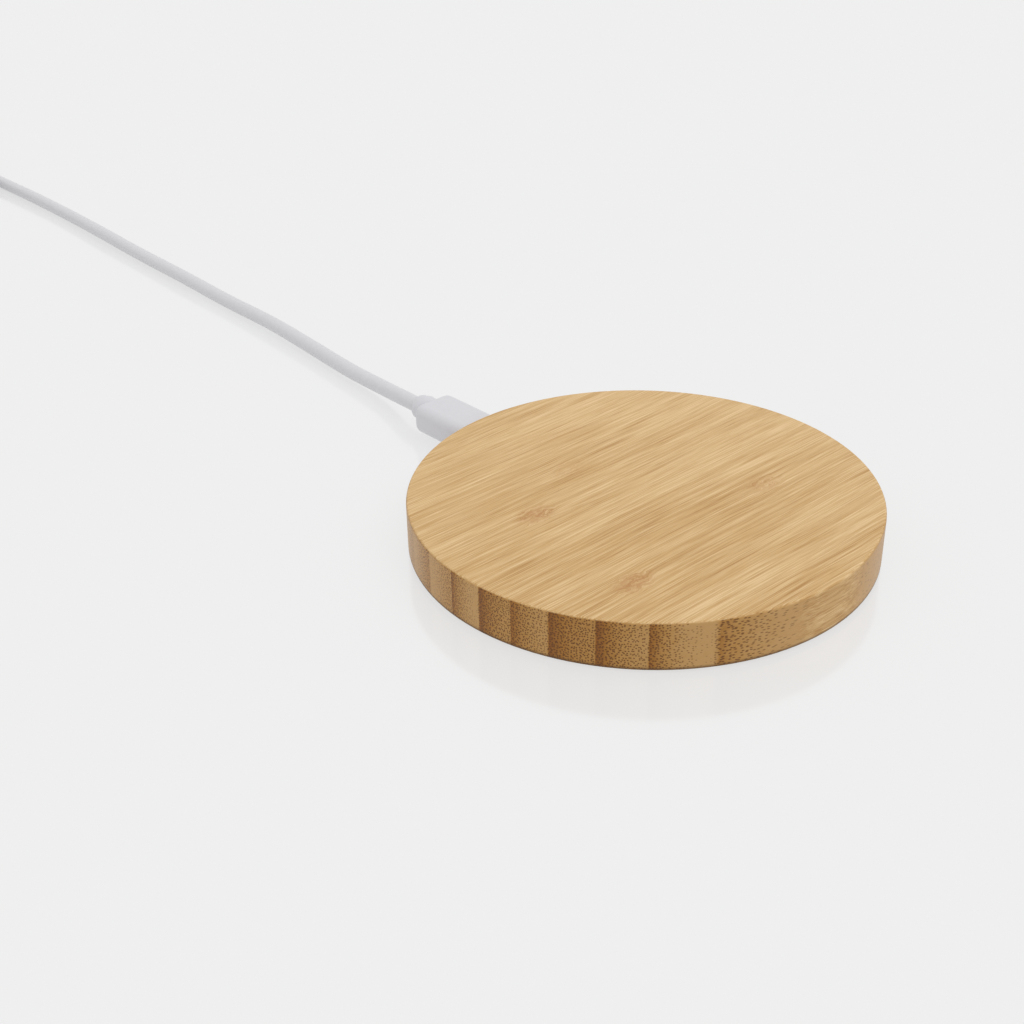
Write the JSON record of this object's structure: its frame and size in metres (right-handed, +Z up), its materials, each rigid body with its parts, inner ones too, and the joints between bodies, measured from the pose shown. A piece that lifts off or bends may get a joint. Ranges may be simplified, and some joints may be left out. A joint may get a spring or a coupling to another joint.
{
  "type": "wireless charging pad",
  "caption": "Round bamboo pad that charges a phone laid on it, fed by a white cord that plugs into a port in its rim.",
  "frame": {"origin": "on the floor under the middle of the round pad", "axes": "+Z up through the charging face, +Y towards the USB port in the rim, +X along the bamboo's grain"},
  "size_m": [0.09, 0.3888, 0.01],
  "materials": {
    "bamboo": "oiled",
    "cover_plastic": "fine spark-eroded texture",
    "foot_silicone": "matt",
    "adhesive_film": "satin",
    "screw_steel": "zinc plated",
    "copper_litz": "stranded and enamelled",
    "ferrite": "sintered",
    "carrier_plastic": "moulded",
    "board_resist": "solder resist over glass fibre",
    "chip_epoxy": "moulded",
    "chip_ceramic": "fired, tinned ends",
    "tinned_metal": "tinned",
    "thermal_gel": "soft",
    "plug_steel": "nickel plated",
    "contact_gold": "gold flashed",
    "insulator_black": "moulded",
    "insulator_white": "moulded",
    "light_guide": "frosted",
    "plug_white": "satin",
    "cord_white": "satin",
    "tie_fabric": "woven hook and loop"
  },
  "bodies": {
    "pad": {"bamboo_body": "bamboo", "base_cover": "cover_plastic", "foot_ring": "foot_silicone", "foot_adhesive": "adhesive_film", "base_screws": "screw_steel", "board_screws": "screw_steel", "coil_carrier": "carrier_plastic", "carrier_adhesive": "adhesive_film", "ferrite_tape": "adhesive_film", "ferrite_shield": "ferrite", "coil_tape": "adhesive_film", "transmit_coil": "copper_litz", "coil_leads": "copper_litz", "coil_thermistor": "insulator_black", "circuit_board": "board_resist", "controller_chip": "chip_epoxy", "bridge_transistors": "chip_epoxy", "resonance_capacitors": "chip_ceramic", "input_capacitors": "chip_ceramic", "chip_resistors": "chip_epoxy", "power_inductor": "ferrite", "status_led": "light_guide", "thermal_pad": "thermal_gel", "light_pipe": "light_guide", "receptacle_shell": "plug_steel", "receptacle_tongue": "insulator_black", "receptacle_contacts": "contact_gold"},
    "cord_set": {"plug_shell": "plug_steel", "plug_insulator": "insulator_black", "plug_contacts": "contact_gold", "plug_overmold": "plug_white", "plug_collar": "plug_white", "supply_cord": "cord_white", "cord_coil": "cord_white", "cord_tail": "cord_white", "cord_tie": "tie_fabric", "host_strain_relief": "plug_white", "host_overmold": "plug_white", "host_shell": "plug_steel", "host_insulator": "insulator_white", "host_contacts": "contact_gold"}
  },
  "joints": [
    {"name": "plug_slide", "type": "slide", "parent": "pad", "child": "cord_set", "axis": [0, 1, 0], "range_m": [0, 0.012]}
  ]
}
